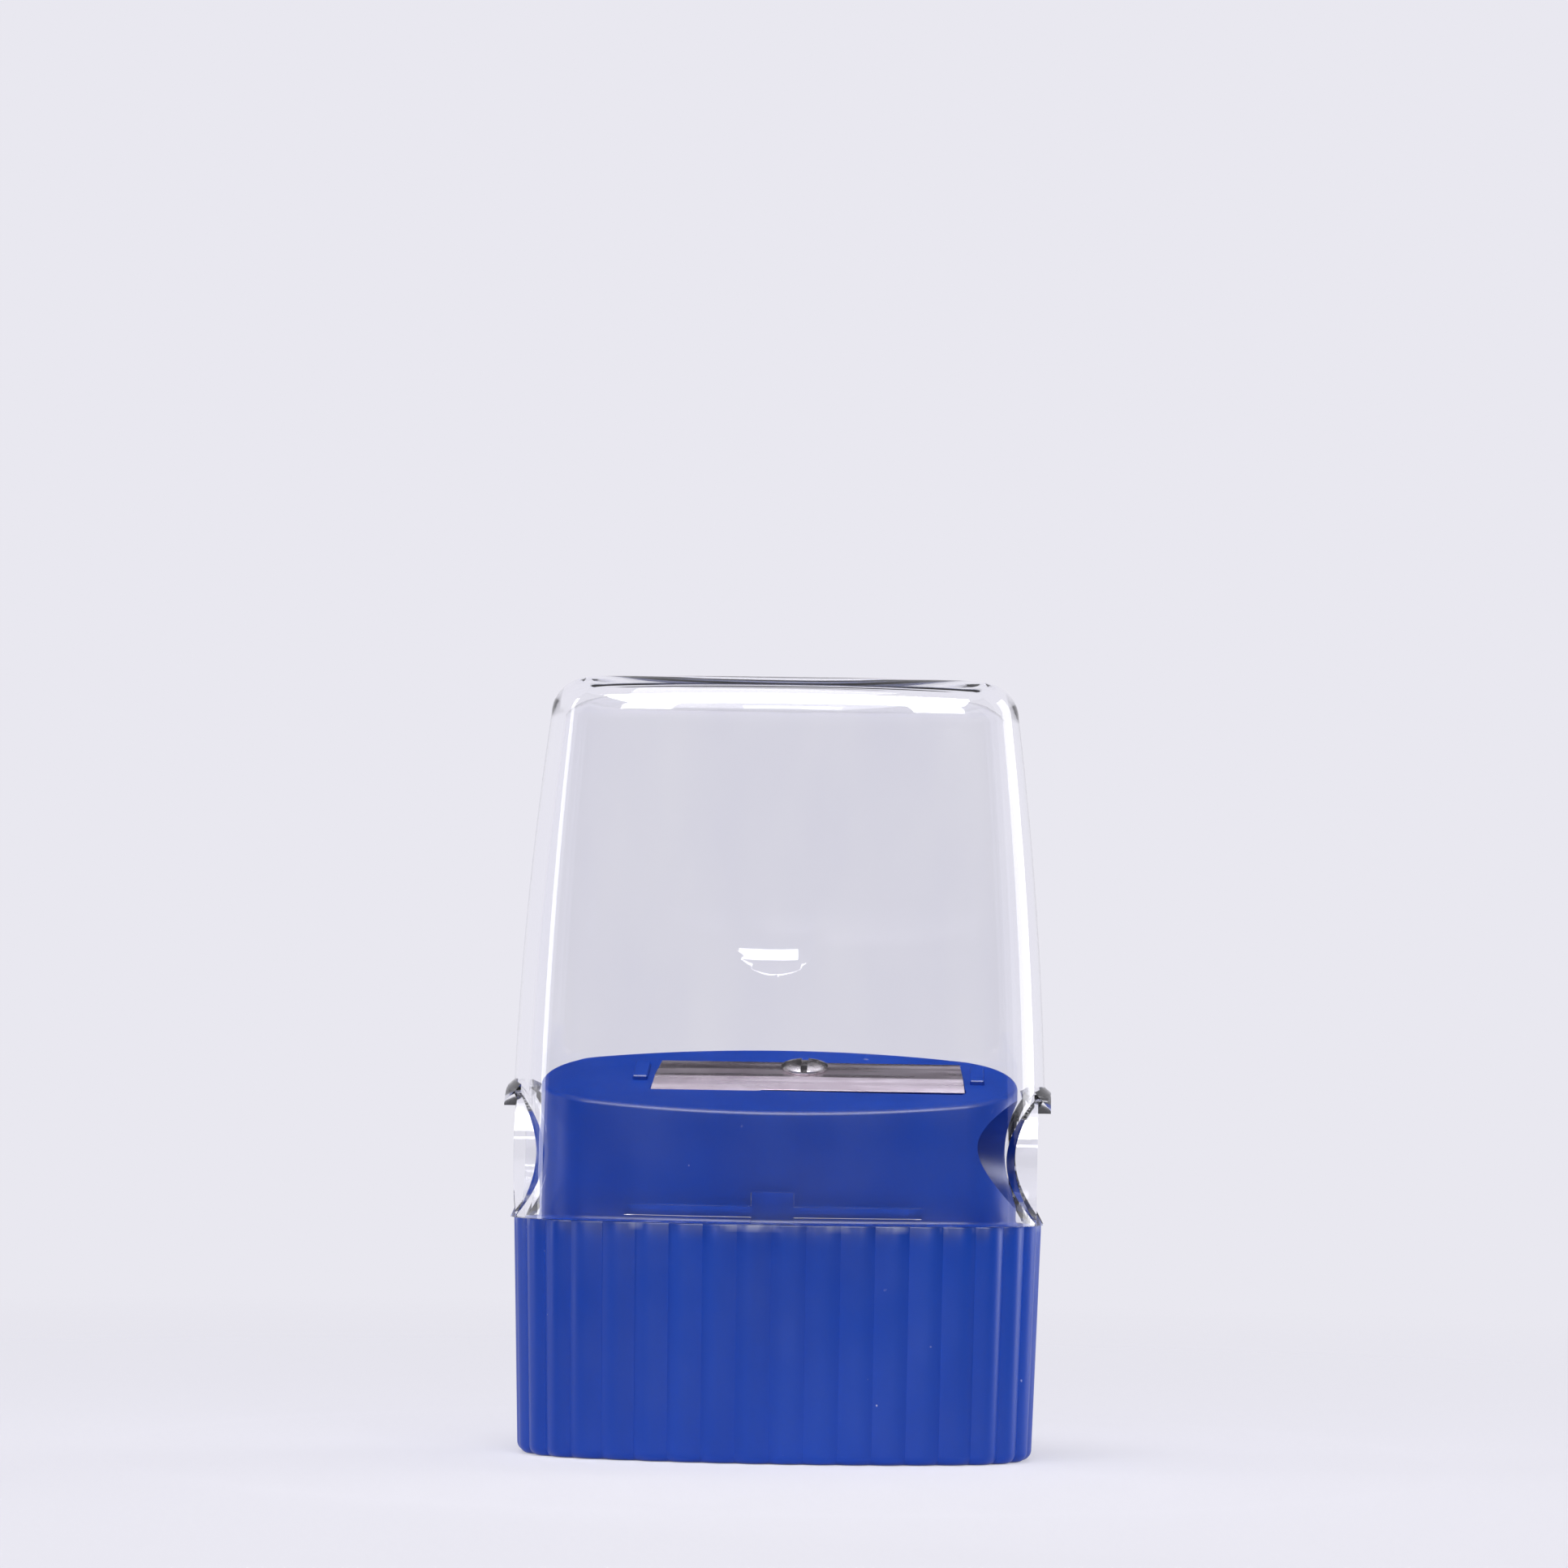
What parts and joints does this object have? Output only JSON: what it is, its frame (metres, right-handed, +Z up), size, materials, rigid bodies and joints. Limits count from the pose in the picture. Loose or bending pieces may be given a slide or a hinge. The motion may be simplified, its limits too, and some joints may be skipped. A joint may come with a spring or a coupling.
{
  "type": "covered pencil sharpener",
  "caption": "Hand-held oval pencil sharpener: ribbed plastic body with a slanted deck and steel blade, under a clear lift-off shavings cover with a pencil port in each end.",
  "frame": {"origin": "under the middle of the grip, on the surface that the sharpener stands on", "axes": "+Z up, -Y the front, +X towards the end with the pencil hole"},
  "size_m": [0.0406, 0.02, 0.0578],
  "materials": {
    "body_plastic": "satin",
    "clear_plastic": "clear polished",
    "blade_steel": "ground, lightly brushed",
    "screw_steel": "plated"
  },
  "bodies": {
    "sharpener": {"sharpener_body": "body_plastic", "blade": "blade_steel", "blade_screw": "screw_steel"},
    "cover": {"shavings_cover": "clear_plastic"}
  },
  "joints": [
    {"name": "cover_lift", "type": "slide", "parent": "sharpener", "child": "cover", "axis": [0, 0, 1], "range_m": [0, 0.045]}
  ]
}
